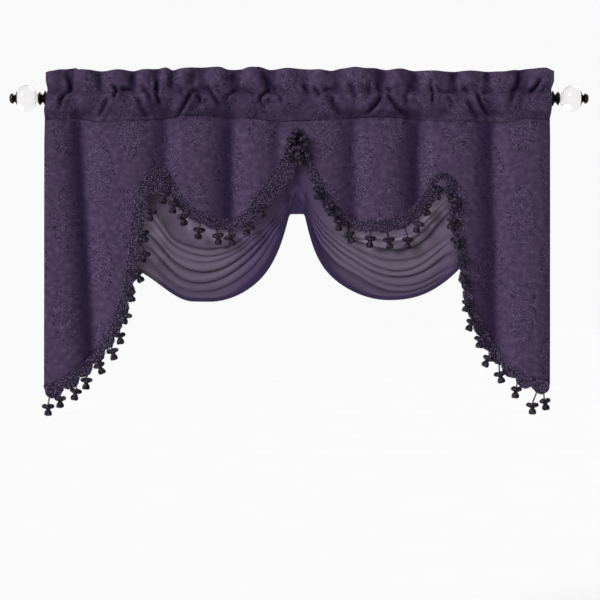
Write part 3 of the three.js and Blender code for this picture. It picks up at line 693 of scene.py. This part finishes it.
# the voile swags: each hangs behind the damask from a tail to the middle, in rolled folds below a plain top
swagForm = {
    "thick": 0.5, "columns": 110, "topRows": 12, "foldRows": 116, "plain": 0.3, "front": 12.5, "depth": 16.0,
    "over": 3.0, "gather": 20.0, "bunch": 36.0, "behind": 2.6, "ripple": 1.2,
}
swags = {
    # dim: how far the darker middle where the cloth gathers reaches, bright: how far below the braid the
    # painted
    # light on the one layer reaches, clear: where that begins, shade: painted shade of the first roll, outer:
    # painted shade at the outer end above 0 and painted light below 0, arch: a bunched spot, darker with
    # layers and painted shade
    # rows: share down the cloth, height at the tail, at the middle, at the lowest point, and x of that point
    # troughs: the lines between the rolls, each with its strength, then x, height from the left
    "left": {
        "end": -397.0, "centre": -3.2, "endPower": 2.1, "endTurn": 1.0, "centrePower": 3.5,
        "hemCurve": (0.59, 7), "set": 0.5, "edge": "scallop_left", "dim": 165.0, "bright": (42, 64),
        "clear": (140, 195), "shade": 0.3, "outer": -0.4, "arch": (-354, -232, 1.0),
        "rows": ((0, -62, -66, -70, -205), (0.3, -188, -160, -330, -188), (1, -404, -277, -488, -216)),
        "troughs": (
            (0.6, ((-344, -254), (-318, -325), (-287, -349), (-227, -364), (-170, -356), (-130, -330),
                   (-79, -279), (-36, -236))),
            (0.9, ((-349, -282), (-324, -330), (-292, -356), (-250, -374), (-210, -379), (-170, -369),
                   (-130, -345), (-79, -293), (-33, -245))),
            (0.5, ((-355, -299), (-329, -345), (-304, -372), (-267, -387), (-227, -394), (-187, -387),
                   (-150, -369), (-113, -339), (-73, -299), (-30, -251))),
            (1.0, ((-364, -318), (-338, -345), (-315, -377), (-290, -399), (-253, -414), (-221, -417),
                   (-181, -407), (-142, -382), (-102, -347), (-67, -308), (-29, -258))),
            (0.75, ((-366, -347), (-335, -384), (-307, -413), (-278, -436), (-238, -445), (-198, -437),
                    (-159, -416), (-119, -384), (-85, -345), (-56, -305), (-28, -265))),
            (0.45, ((-369, -376), (-335, -416), (-301, -447), (-264, -462), (-221, -464), (-181, -454),
                    (-142, -433), (-104, -399), (-76, -359), (-50, -313), (-28, -272))))},
    "right": {
        "end": 391.0, "centre": -6.4, "endPower": 2.4, "endTurn": 0.0, "centrePower": 3.6,
        "hemCurve": (0.56, 9), "set": 0.0, "edge": "scallop_right", "dim": 125.0, "bright": (48, 78),
        "clear": (128, 178), "shade": 0.0, "outer": 0.2, "arch": (356, -236, 0.2),
        "rows": ((0, -66, -66, -68, 200), (0.3, -178, -160, -332, 190), (1, -402, -277, -484, 216)),
        "troughs": (
            (0.6, ((0, -205), (63, -259), (133, -298), (175, -317), (217, -326), (260, -325), (290, -310),
                   (320, -277), (359, -232))),
            (0.85, ((3, -212), (63, -271), (133, -320), (199, -338), (236, -342), (269, -338), (299, -320),
                    (329, -286), (362, -253))),
            (0.9, ((5, -220), (60, -286), (133, -338), (199, -360), (236, -362), (275, -357), (308, -335),
                   (338, -295), (364, -265))),
            (0.5, ((6, -227), (57, -298), (109, -344), (139, -357), (169, -374), (205, -387), (242, -389),
                   (284, -383), (320, -362), (364, -329))),
            (0.7, ((9, -235), (54, -311), (109, -356), (139, -375), (169, -394), (199, -409), (236, -416),
                   (275, -410), (314, -386), (365, -338))),
            (0.9, ((12, -243), (54, -323), (103, -368), (139, -391), (169, -411), (205, -424), (248, -428),
                   (290, -419), (326, -398), (364, -365))),
            (0.5, ((15, -250), (48, -329), (94, -377), (139, -407), (169, -427), (199, -442), (239, -451),
                   (275, -449), (314, -436), (362, -403))),
            (0.7, ((18, -258), (45, -341), (88, -394), (142, -425), (175, -446), (211, -462), (254, -465),
                   (290, -457), (326, -439), (362, -416))))},
}


def swagHeights(swag, x, b):  # each row hangs to its own lowest point, between the tail and the middle
    end, centre, low, at = (tabled(swag["rows"], column, b, eased=False) for column in (1, 2, 3, 4))
    hand, late = np.sign(swag["end"]), ease(b, 0.55, 1.0)
    drawn = swagForm["gather"] * ease(b, 0.5, 1.0) * hand
    inward = np.maximum((x - at) / (swag["centre"] + drawn - at), 0)
    curve, power = swag["hemCurve"]
    hemward = curve * inward ** 2 + (1 - curve) * inward ** power
    inward = mix(inward ** swag["centrePower"], hemward, late)
    inward = 1 - np.log(1 + np.exp(36 * (1 - inward))) / 36  # rounds the hem over the middle
    outward = np.maximum((x - at) / (swag["end"] - at), 0)
    swung = ease(outward, 0.22, 1.15) + 0.2 * outward ** 2 * (1 - outward)
    outward = mix(outward ** swag["endPower"], swung, swag["endTurn"] * late)
    outer = (x - at) * hand > 0
    return np.where(outer, mix(low, end, outward), mix(low, centre, inward)), at


def swagRolls(swag, x, b, z):  # rolled folds: each hangs forward between two sharp troughs
    edges = [np.full(x.shape[1], swagForm["plain"])]
    for number, (strength, trough) in enumerate(swag["troughs"]):
        wanted = np.interp(x[0], *np.array(trough, float).T)
        share = np.array([np.interp(-wanted[k], -z[:, k], b[:, k]) for k in range(x.shape[1])])
        edges.append(np.clip(smoothed(share, 9), edges[-1] + 0.012, 0.93 + 0.005 * number))
    edges.append(np.full(x.shape[1], 1.0))
    count = len(swag["troughs"])
    strengths = [0.0] + [strength for strength, trough in swag["troughs"]] + [0.3]
    roll, depth, tuck = np.ones_like(x), np.zeros_like(x), np.zeros_like(x)
    for number, (upper, lower) in enumerate(zip(edges, edges[1:])):
        t = np.clip((b - upper) / (lower - upper), 0, 1)
        inside = (b >= upper) & (b <= lower)
        if number == 0:  # the plain top falls into the first trough, and the last roll ends in the hem
            arch = np.cos(0.5 * math.pi * t ** 2.2)
        elif number == count:
            arch = np.sin(0.5 * math.pi * np.minimum(t * 1.25, 1)) ** 0.8
        else:
            arch = np.sin(math.pi * t) ** 0.8
        size = np.clip((lower - upper) / 0.11, 0.3, 1.1)
        firm = mix(strengths[number], strengths[number + 1], ease(t, 0, 1))
        roll = np.where(inside, arch, roll)
        depth = np.where(inside, size * firm, depth)
        tuck = np.where(inside, ease(t, 0.25, 0.8) * (1 - ease(t, 0.84, 1.0)) * (number < count), tuck)
    return roll, depth, tuck, edges[1]


# several layers lie together in the troughs, the rolled hem, the middle and the bunched spot, with painted
# shade there too, in the first roll, at an outer end set above 0, low by the middle and towards the bottom,
# up to 1, and below 0 painted light makes the one layer just under the braid, and an outer end set below 0,
# paler
def swagLayersAndPaintedLight(swag, x, b, z, at, roll, depth, firstEdge):
    aside = np.abs(x - swag["centre"])
    near, inner = 1 - ease(aside, 8, swag["dim"]), 1 - ease(aside, 90, 230)
    fromHem = (z - z[-1]) / np.sqrt(1 + np.gradient(z[-1], x[-1]) ** 2)
    hem = mix(0.5, 0.8, inner) * (1 - ease(fromHem, 8, 11)) + 0.4 * inner * (1 - ease(fromHem, 6, 26))
    below = np.interp(x, *np.array(stretches[swag["edge"]]["edge"], float).T) - z
    # painted light: the one layer just under the braid is drawn paler
    paintedLight = ease(below, 10, 22) * (1 - ease(below, *swag["bright"])) * ease(aside, *swag["clear"])
    # darker at the bunched spot, from its layers and painted shade
    archX, archZ, heavy = swag["arch"]
    bunched = heavy * bell(np.hypot(x - archX, z - archZ), swagForm["bunch"])
    # painted shade in the first roll, at an outer end set above 0 and low by the middle, and painted light at
    # an outer end set below 0
    first = (1 - ease(b, firstEdge - 0.03, firstEdge)) * (1 - near)
    shade = swag["shade"] * first * ease(below, 62, 85)
    shade += swag["outer"] * ease((x - at) / (swag["end"] - at), 0.58, 0.74) * ease(b, 0.3, 0.5)
    shade += 0.18 * ease(b, 0.6, 0.8) * (1 - ease(aside, 110, 190))
    layers = 0.62 * (1 - roll) ** 1.2 * np.minimum(depth, 1) + 0.62 * near + hem + 0.46 * ease(b, 0.66, 1.0)
    return np.clip(layers + shade + 0.5 * bunched - paintedLight * (1 - bunched), -1, 1)


def swagPoints(swag):
    share = (1 - (1 - np.linspace(0, 1, swagForm["columns"] + 1)) ** 1.5)[None, :]
    plain = np.linspace(0, swagForm["plain"], swagForm["topRows"], endpoint=False)
    down = np.concatenate([plain, np.linspace(swagForm["plain"], 1, swagForm["foldRows"] + 1)])[:, None]
    x = mix(swag["end"], swag["centre"], share) * np.ones_like(down)
    b = down * np.ones_like(x)
    z, at = swagHeights(swag, x, b)
    roll, depth, tuck, firstEdge = swagRolls(swag, x, b, z)
    spread = np.sin(math.pi * np.clip(0.1 + 0.8 * share, 0, 1)) ** 0.7
    loose = mix(0.35, 1.0, ease(np.abs(x - swag["centre"]), 14, 105))
    full = depth * spread * loose
    hung = swagForm["front"] + swagForm["depth"] * (1 - roll) * full
    hung = hung + swagForm["ripple"] * np.sin(x / 31 + 9 * b) * ease(b, 0.3, 0.45)
    z = z - swagForm["over"] * tuck * full  # each roll hangs over the trough below it
    tucked = np.max([foldAt(x + shift, z) for shift in (-20, 0, 20)], axis=0) + swagForm["behind"]
    y = mix(tucked, hung, ease(share, 0, 0.16) * ease(b, 0, 0.3)) + swag["set"]
    points = np.stack([x, y, z], axis=2)
    layers = swagLayersAndPaintedLight(swag, x, b, z, at, roll, depth, firstEdge)
    return points, np.stack([x, -runAlong(points)], axis=2), layers


for side, swag in swags.items():
    laid = swagPoints(swag)
    if side == "right":
        laid = [part[:, ::-1] for part in laid]
    mesh = clothGrid("voile_" + side, laid[0], laid[1], {"layers": laid[2]})
    piece = addPiece("voileSwag_" + side, mesh, [voile, voileBack], ["voile_" + side])
    thicken(piece, swagForm["thick"], 1)

# the tassel: a wound mushroom head, a tied neck and a flared skirt of strands, as radius and drop in mm
tassel = {
    "steps": 28, "ribs": 14, "ribSize": 0.09, "lumps": 4, "lumpSize": 0.08, "middle": 14.3, "eye": (0, 0, 2),
    "profile": ((0, 2.6), (2.6, 1.6), (6, 0.2), (9.6, 0.4), (12.6, 2.0), (14.2, 4.6), (14.2, 7.0),
                (12.8, 9.6), (10.2, 11.2), (7.4, 12.2), (5.4, 13.0), (4.9, 14.2), (5.8, 15.6), (7.3, 17.6),
                (8.2, 20.4), (8.5, 23.4), (8.4, 26.0), (7.4, 27.8), (4.4, 28.6), (0, 28.4)),
}


def tasselMesh(place, turn, lean, size=1.0):
    bm = turned(tassel["profile"], tassel["steps"], axis="Z", side=-1)
    for vert in bm.verts:
        drop = -vert.co.z / mm
        angle = math.atan2(vert.co.y, vert.co.x)
        rib = math.cos(tassel["ribs"] * angle)
        lump = math.cos(tassel["lumps"] * angle + 1.3 * math.sin(angle + turn))
        swell = 1 + tassel["lumpSize"] * lump * (1 - ease(drop, 10, 13))
        swell += tassel["ribSize"] * rib * ease(drop, 16, 20)
        sag = 1.1 * (1 - lump) * (1 - ease(drop, 3, 9))
        sag += 0.7 * math.sin(3 * angle + turn) * ease(drop, 22, 28)
        vert.co.x *= swell
        vert.co.y *= swell
        vert.co.z -= sag * mm
    for face in bm.faces:
        face.material_index = 1
    hung = Matrix.Translation([value * mm for value in place]) @ Matrix.Rotation(lean, 4, "Y")
    hung = hung @ Matrix.Rotation(turn, 4, "Z") @ Matrix.Scale(size, 4)
    bmesh.ops.transform(bm, verts=bm.verts[:], matrix=hung)
    return finishMesh(bm, "tassel")


def threadLines(root, top):  # two twisted threads from the lace to the head of a tassel
    t = np.linspace(0, 1, 6)[:, None]
    aside = np.hstack([1.3 * np.sin(math.pi * (0.12 + 0.76 * t)), np.full_like(t, 0.3), np.zeros_like(t)])
    return [mix(root, top, t) + half * aside for half in (-1, 1)]


# the lace braid: a tape sewn over the cloth's edge, under rows of small close loops, with a lobed edge
braid = {
    "width": 28.5, "inner": -4.0, "down": 26.0, "split": 3.0, "reach": 9.0, "rim": 3.0, "threadRadius": 1.0,
    "tape": {"thick": 0.9, "step": 3.2, "rows": 7, "margin": 1.5, "lift": -1.5},
    "loops": {"pitch": 3.5, "size": 4.0, "radius": 0.85, "lift": -2.3},
    "edging": {"step": 1.9, "margin": 1.6, "nub": 1.5, "radius": 0.95, "lift": -1.9},
}


def braidStrip(stretch, count=400):  # stations along the edge, the way out from it and the lace's reach
    line = edgeLine(stretch["edge"], count)
    along = np.linspace(0, 1, count + 1)
    run = np.gradient(line, axis=0)
    out = np.column_stack([run[:, 1], -run[:, 0]])
    out /= np.linalg.norm(out, axis=1)[:, None]
    archAt = line[-1] if stretch["arch"] == "end" else line[0]
    towards = bell(np.hypot(*(line - archAt).T), braid["down"])[:, None]
    out = mix(out, np.array([0.0, -1.0]), towards)  # it hangs straight down by the arch
    out /= np.linalg.norm(out, axis=1)[:, None]
    lobe = np.abs(np.sin(math.pi * along * stretch["lobes"]))
    full = braid["width"] * tabled(stretch["widths"], 1, along)
    reach = full * (1 - stretch["lobeShare"] * (1 - lobe ** 0.8))
    # it stops short of the next braid, at the arch and in the middle
    facing = out[:, 0] * np.sign(archAt[0] - line[:, 0])
    toArch = (np.abs(archAt[0] - line[:, 0]) - 0.5 * braid["split"]) / np.maximum(facing, 0.02)
    toArch = np.where(facing > 0.02, toArch, 1e9)
    toMiddle = (np.abs(line[:, 0] + 4) - 2) / np.maximum(np.abs(out[:, 0]), 0.02)
    toMiddle = np.where(out[:, 0] * line[:, 0] < 0, toMiddle, 1e9)
    reach = np.minimum(reach, np.maximum(np.minimum(toArch, np.maximum(toMiddle, 6)), 2))
    return {"line": line, "out": out, "reach": reach, "along": along, "total": runAlong(line)[-1]}


def onBraid(strip, at, reach, lift):  # points at shares along the edge, reach away from it
    p, out = (sampled(at, strip["along"], strip[part]) for part in ("line", "out"))
    spot = p + out * reach[:, None]
    return np.column_stack([spot[:, 0], foldAt(p[:, 0], p[:, 1]) + lift, spot[:, 1]])


def tapeMesh(strip):
    form, total = braid["tape"], strip["total"]
    at = np.linspace(0, 1, int(total / form["step"]))
    outer = np.interp(at, strip["along"], strip["reach"]) - form["margin"]
    rows = []
    for t in np.linspace(0, 1, form["rows"]):
        lift = form["lift"] + 0.3 * np.sin(at * total / 2 + 9 * t)
        rows.append(onBraid(strip, at, mix(braid["inner"], outer, t), lift))
    rows = np.array(rows)
    return clothGrid("tape", rows, rows[:, :, ::2], {})


def loopLines(strip, rows):  # rows of close loops that cover the tape
    form = braid["loops"]
    count = int(strip["total"] / form["pitch"])
    turn = np.arange(count * 8) / 8
    lines = []
    for number in range(rows):
        at = np.clip((turn + 0.5 * number + 0.9 * np.sin(math.tau * turn)) / (count + 1), 0, 1)
        size = form["size"] * (1 + 0.25 * np.sin(turn * 1.9 + number))
        wide = np.interp(at, strip["along"], strip["reach"]) - braid["inner"]
        away = braid["inner"] + wide * (number / rows + 0.13) - size * np.cos(math.tau * turn)
        lift = form["lift"] - 0.55 * np.sin(math.tau * turn + 1.0) - 0.3 * (number % 2)
        lines.append(onBraid(strip, at, away, lift))
    return lines


def edgingLine(strip):  # a thicker cord with small nubs along the lobes
    form, total = braid["edging"], strip["total"]
    at = np.linspace(0, 1, int(total / form["step"]))
    nub = form["nub"] * np.abs(np.sin(at * total / 2.5))
    lift = form["lift"] + 0.6 * np.cos(at * total / 1.25)
    return onBraid(strip, at, np.interp(at, strip["along"], strip["reach"]) - form["margin"] + nub, lift)


def braidPiece(name, stretch):
    strip = braidStrip(stretch)
    bm = bmesh.new()
    addMesh(bm, tapeMesh(strip))
    bmesh.ops.solidify(bm, geom=bm.faces[:], thickness=braid["tape"]["thick"] * mm)
    addMesh(bm, cordMesh(loopLines(strip, stretch["rows"]), braid["loops"]["radius"]))
    addMesh(bm, cordMesh([edgingLine(strip)], braid["edging"]["radius"]))
    rim = onBraid(strip, strip["along"], strip["reach"] - braid["rim"], 0.0)
    threads = []
    for number, (x, z, lean) in enumerate(stretch["tassels"]):
        lean = math.radians(lean)
        top = np.array([x + tassel["middle"] * math.sin(lean), 0, z + tassel["middle"] * math.cos(lean)])
        # hung from the lace just above it, and further forward where the lace leans to a side
        near = np.hypot(rim[:, 0] - top[0], rim[:, 2] - top[2] - braid["reach"]).argmin()
        top[1] = min(rim[near, 1], -6) - 12 * abs(strip["out"][near, 0])
        threads += threadLines(rim[near], top - tassel["eye"])
        addMesh(bm, tasselMesh(top, 0.7 * number, lean))
    addMesh(bm, cordMesh(threads, braid["threadRadius"], kind=1))
    # the tails' braid gets the paler copy of the gimp, with painted light
    cords = litGimp if name.startswith("tail") else gimp
    mesh = finishMesh(bm, "braid_" + name)
    return addPiece("laceBraid_" + name, mesh, [cords, spunYarn], ["braid_" + name])


for name, stretch in stretches.items():
    braidPiece(name, stretch)

# bunches of loops and tassels where the braid turns, at the two arches and the middle
bunchForm = {
    "loopRadius": 1.15, "loopWidth": 8.0, "layerStep": 2.2, "threadRadius": 0.8, "satin": (0.4, 3.0),
    "stripLoops": 15, "stripWidth": 7.5, "stripLean": 0.9,
}
bunches = {
    # half is half the width and height, inside the share of it that a rosette leaves open, rings the count
    # and length of its loops in each layer, and tassels the place from the middle, lean in degrees and size
    "left": {
        "at": (-334, -14.5, -202), "half": (28, 31),
        "inside": 0.08, "rings": ((22, 1.0), (18, 0.74), (12, 0.48)), "tassels": ((12, -9, -22, 6, 1.05),)},
    "centre": {
        "at": (-4, -19.8, -112), "half": (18, 42),
        "tassels": ((-2, -4, 34, 18, 0.8), (10, -6, 18, -32, 0.92), (-11, -8, 12, 28, 0.95),
                    (12, -7, -8, -38, 0.95), (-2, -13, -4, -8, 1.0), (-12, -6, -14, 34, 0.92),
                    (5, -5, -26, -12, 0.9))},
    "right": {
        "at": (341, -18.5, -206), "half": (35, 26),
        "inside": 0.38, "rings": ((26, 1.0), (22, 0.8)), "tassels": ((-10, -9, -10, 4, 1.0),)},
}


def loopOf(start, angle, length, width, lift):  # one teardrop loop of cord, flat to the front
    turn = np.linspace(0, math.tau, 9)
    away = 0.5 * length * (1 - np.cos(turn))
    aside = 0.5 * width * np.sin(turn) * (0.35 + 0.65 * away / length)
    ahead = np.array([math.sin(angle), 0, -math.cos(angle)])
    across = np.array([math.cos(angle), 0, math.sin(angle)])
    line = start + away[:, None] * ahead + aside[:, None] * across
    line[:, 1] += lift - 1.6 * np.sin(turn * 0.5)
    return line


def rosetteLoops(middle, half, inside, rings):  # layers of loops, with two oval cords round the open middle
    loops = []
    for layer, (count, length) in enumerate(rings):
        for number, angle in enumerate(np.arange(count) * math.tau / count + 0.1 * layer):
            spoke = np.array([half[0] * math.sin(angle), 0, -half[1] * math.cos(angle)])
            long = (length - inside) * np.linalg.norm(spoke) * (1 + 0.08 * math.sin(2.3 * number))
            lean = math.atan2(spoke[0], -spoke[2])
            lift = 2.0 - bunchForm["layerStep"] * layer
            loops.append(loopOf(middle + inside * spoke, lean, long, bunchForm["loopWidth"], lift))
    turn = np.linspace(0, math.tau, 40)
    for size in (inside - 0.03, inside + 0.05):
        oval = [size * half[0] * np.sin(turn), np.full(40, -1.5), -size * half[1] * np.cos(turn)]
        loops.append(middle + np.column_stack(oval))
    return loops


def stripLoops(middle, half):  # a narrow strip of loops behind the piled tassels
    loops = []
    for number, height in enumerate(np.linspace(0.92 * half[1], -0.55 * half[1], bunchForm["stripLoops"])):
        root, lift = middle + [0, 5, height], 2.0 - 1.5 * (number % 3)
        for lean in (-bunchForm["stripLean"], bunchForm["stripLean"]):
            loops.append(loopOf(root, lean, 1.1 * half[0], bunchForm["stripWidth"], lift))
    return loops


def bunchPiece(side, bunch):
    middle, half = np.array(bunch["at"], float), bunch["half"]
    bm = bmesh.new()
    if "rings" in bunch:
        loops = rosetteLoops(middle, half, bunch["inside"], bunch["rings"])
    else:
        loops = stripLoops(middle, half)
    addMesh(bm, cordMesh(loops, bunchForm["loopRadius"]))
    if side == "right":  # its rosette opens round a satin oval
        wide, deep = bunchForm["satin"]
        button = bmesh.ops.create_uvsphere(bm, u_segments=32, v_segments=12, radius=mm)["verts"]
        bmesh.ops.scale(bm, vec=(wide * half[0], deep, wide * half[1]), verts=button)
        bmesh.ops.translate(bm, vec=middle * mm, verts=button)
        for face in {face for vert in button for face in vert.link_faces}:
            face.material_index = 2
    threads = []
    for number, (x, y, z, lean, size) in enumerate(bunch["tassels"]):
        top = middle + [x, y, z]
        threads += threadLines(middle + [0.5 * x, 0, z + 8], top - tassel["eye"])
        addMesh(bm, tasselMesh(top, 0.9 * number, math.radians(lean), size))
    addMesh(bm, cordMesh(threads, bunchForm["threadRadius"], kind=1))
    mesh = finishMesh(bm, "bunch_" + side)
    return addPiece("laceBunch_" + side, mesh, [gimp, spunYarn, satin], ["bunch_" + side])


for side, bunch in bunches.items():
    bunchPiece(side, bunch)
print("bunches made")

# the rod and its finials: a double-cone collar, a flattened clear ball on stepped rings and a flared cap,
# each as radius and distance from the rod's end in mm
rodForm = {"radius": 12.5, "half": 607.0, "chamfer": 0.8, "steps": 48, "sharp": 40}
finial = {
    "collar": ((0, 0.3), (17.6, 0.3), (18.5, 0.9), (18.5, 2.0), (17.2, 3.1), (13, 5.0), (9.6, 6.9),
               (9.2, 7.7), (10.4, 9.0), (15.4, 12.9), (16.8, 14.4), (16.3, 15.6), (13.2, 17.3), (12, 18.1),
               (11.4, 18.4), (0, 18.4)),
    "ball": (
        (0, 18.7), (13.6, 18.7), (14.2, 19.3), (14.2, 20.8), (13.4, 21.5), (14.0, 22.2), (16.6, 22.7),
        (17.2, 23.4), (17.2, 24.8), (16.4, 25.6), (17.2, 26.4), (19.6, 26.9),
        *((31.9 * math.sqrt(1 - ((far - 47.6) / 26.4) ** 2), far) for far in np.linspace(27.8, 65.8, 22)),
        (22.6, 66.4), (0, 66.4)),
    "cap": ((0, 66.7), (18.2, 66.7), (18.7, 67.2), (18.7, 68.6), (17.4, 69.5), (13.8, 70.6), (10.8, 72.2),
            (9.0, 74.2), (8.4, 75.6), (9.2, 76.9), (11.4, 78.2), (12.6, 80.0), (12.2, 82.4), (10.6, 84.8),
            (7.4, 86.8), (3.4, 87.6), (0, 87.8)),
}
radius, half, chamfer = rodForm["radius"], rodForm["half"], rodForm["chamfer"]
tube = turned((
    (0, -half), (radius - chamfer, -half), (radius, chamfer - half),
    (radius, half - chamfer), (radius - chamfer, half), (0, half)), rodForm["steps"])
addPiece("curtainRod", finishMesh(tube, "curtainRod", rodForm["sharp"]), [bronze], ["rod"])
finialParts = (
    ("collar", bronze, "finial_metal"), ("ball", acrylic, "clear_ball"), ("cap", bronze, "finial_metal"))
for hand, side in (("left", -1), ("right", 1)):
    for part, material, slot in finialParts:
        shape = turned(finial[part], rodForm["steps"], side=side, start=half)
        mesh = finishMesh(shape, part + "_" + hand, rodForm["sharp"])
        addPiece("finial" + part.capitalize() + "_" + hand, mesh, [material], [part + "_" + hand])
print("rod and finials made")

# stage: a pale floor well below, a pale room, a broad soft key from the upper left and a weaker light behind
stage = {
    "floor": -1.6, "half": 60.0, "paint": ("#f6f6f6", "#f9f9f9"), "seen": 0.95, "room": 0.34, "soft": 30.0,
    # the power of each light and where it shines from
    "lights": {"key": (2.98, (-0.62, -0.60, 0.42)), "back": (1.35, (0.36, 0.66, 0.66))},
}
bm = bmesh.new()
bmesh.ops.create_grid(bm, x_segments=1, y_segments=1, size=stage["half"])
bmesh.ops.translate(bm, verts=bm.verts[:], vec=(0, 0, stage["floor"]))
floor = bpy.data.objects.new("floor", finishMesh(bm, "floor"))
floorMaterial, add = newMaterial("pale floor paint")
mottle = add("TexNoise", {"Vector": add("TexCoord").outputs["Object"], "Scale": 2.0})
coats = [(place, colour(paint)) for place, paint in zip((0.2, 0.8), stage["paint"])]
floorTone = add("ValToRGB", {"Fac": mottle}, stops=coats)
floorPaint = add("BsdfPrincipled", {"Base Color": floorTone, "Roughness": 0.9, "Specular IOR Level": 0.1})
add("OutputMaterial", {"Surface": floorPaint})
floor.data.materials.append(floorMaterial)
scene.collection.objects.link(floor)

world = bpy.data.worlds.new("pale room")
world.use_nodes = True
world.node_tree.nodes.clear()
add = partial(addNode, world.node_tree)
rays = add("LightPath").outputs
seen = add("Math", {0: rays["Is Camera Ray"], 1: rays["Is Transmission Ray"]}, "MAXIMUM")
levels = {0: seen, 1: stage["seen"] - stage["room"], 2: stage["room"]}
brightness = add("Math", levels, "MULTIPLY_ADD")
sky = add("Background", {"Color": (1.0, 1.0, 1.0, 1.0), "Strength": brightness})
add("OutputWorld", {"Surface": sky})
scene.world = world
for name, (power, towards) in stage["lights"].items():
    lamp = bpy.data.lights.new(name, "SUN")
    lamp.energy = power
    lamp.angle = math.radians(stage["soft"])
    light = bpy.data.objects.new(name, lamp)
    light.location = [3 * value for value in towards]
    tilt = math.acos(towards[2] / np.linalg.norm(towards))
    light.rotation_euler = (tilt, 0, math.atan2(towards[1], towards[0]) + math.pi / 2)
    scene.collection.objects.link(light)
scene.view_settings.view_transform = "Standard"
print("stage made")
